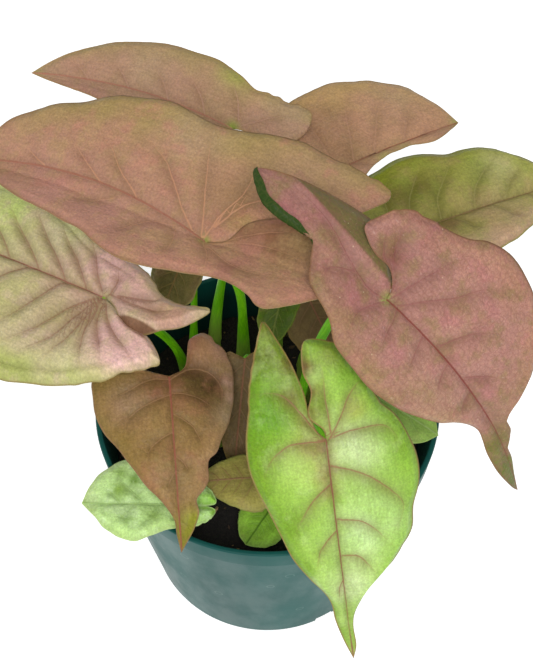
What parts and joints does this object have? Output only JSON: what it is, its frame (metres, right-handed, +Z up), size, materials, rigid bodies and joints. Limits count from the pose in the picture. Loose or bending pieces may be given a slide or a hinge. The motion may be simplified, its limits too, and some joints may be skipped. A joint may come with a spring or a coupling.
{
  "type": "potted arrowhead plant",
  "caption": "Arrowhead plant with broad pink, olive and lime leaves on green stalks, rooted in dark soil in a round tapered nursery pot.",
  "frame": {"origin": "centre of the pot's underside", "axes": "+Z up along the pot's axis, -Y towards the plant's front"},
  "size_m": [0.2087, 0.1756, 0.1916],
  "materials": {
    "pot_plastic": "satin, moulded, dark blue-green",
    "potting_soil": "rough, damp bark and peat",
    "stalk_green": "satin, smooth and fleshy",
    "pink_brown_leaf": "satin, finely quilted between the veins",
    "rose_leaf": "satin, speckled olive",
    "pale_pink_green_leaf": "satin, quilted between the veins",
    "olive_brown_leaf": "satin",
    "olive_green_leaf": "satin",
    "lime_leaf": "satin",
    "mint_leaf": "satin"
  },
  "bodies": {
    "root": {"pot": "pot_plastic", "soil": "potting_soil", "crown_leaf_blade": "pink_brown_leaf", "crown_leaf_stalk": "stalk_green", "back_left_leaf_blade": "pink_brown_leaf", "back_left_leaf_stalk": "stalk_green", "back_right_leaf_blade": "pink_brown_leaf", "back_right_leaf_stalk": "stalk_green", "right_leaf_blade": "olive_green_leaf", "right_leaf_stalk": "stalk_green", "front_right_leaf_blade": "rose_leaf", "front_right_leaf_stalk": "stalk_green", "left_leaf_blade": "pale_pink_green_leaf", "left_leaf_stalk": "stalk_green", "tucked_leaf_blade": "olive_brown_leaf", "tucked_leaf_stalk": "stalk_green", "front_left_leaf_blade": "olive_brown_leaf", "front_left_leaf_stalk": "stalk_green", "front_leaf_blade": "lime_leaf", "front_leaf_stalk": "stalk_green", "rim_leaf_blade": "mint_leaf", "rim_leaf_stalk": "stalk_green", "seedling_leaf_blade": "mint_leaf", "seedling_leaf_stalk": "stalk_green", "olive_leaf_blade": "olive_brown_leaf", "olive_leaf_stalk": "stalk_green", "inner_leaf_blade": "olive_brown_leaf", "inner_leaf_stalk": "stalk_green", "shade_leaf_blade": "olive_green_leaf", "shade_leaf_stalk": "stalk_green", "under_leaf_blade": "olive_brown_leaf", "under_leaf_stalk": "stalk_green", "side_leaf_blade": "mint_leaf", "side_leaf_stalk": "stalk_green"}
  },
  "joints": []
}
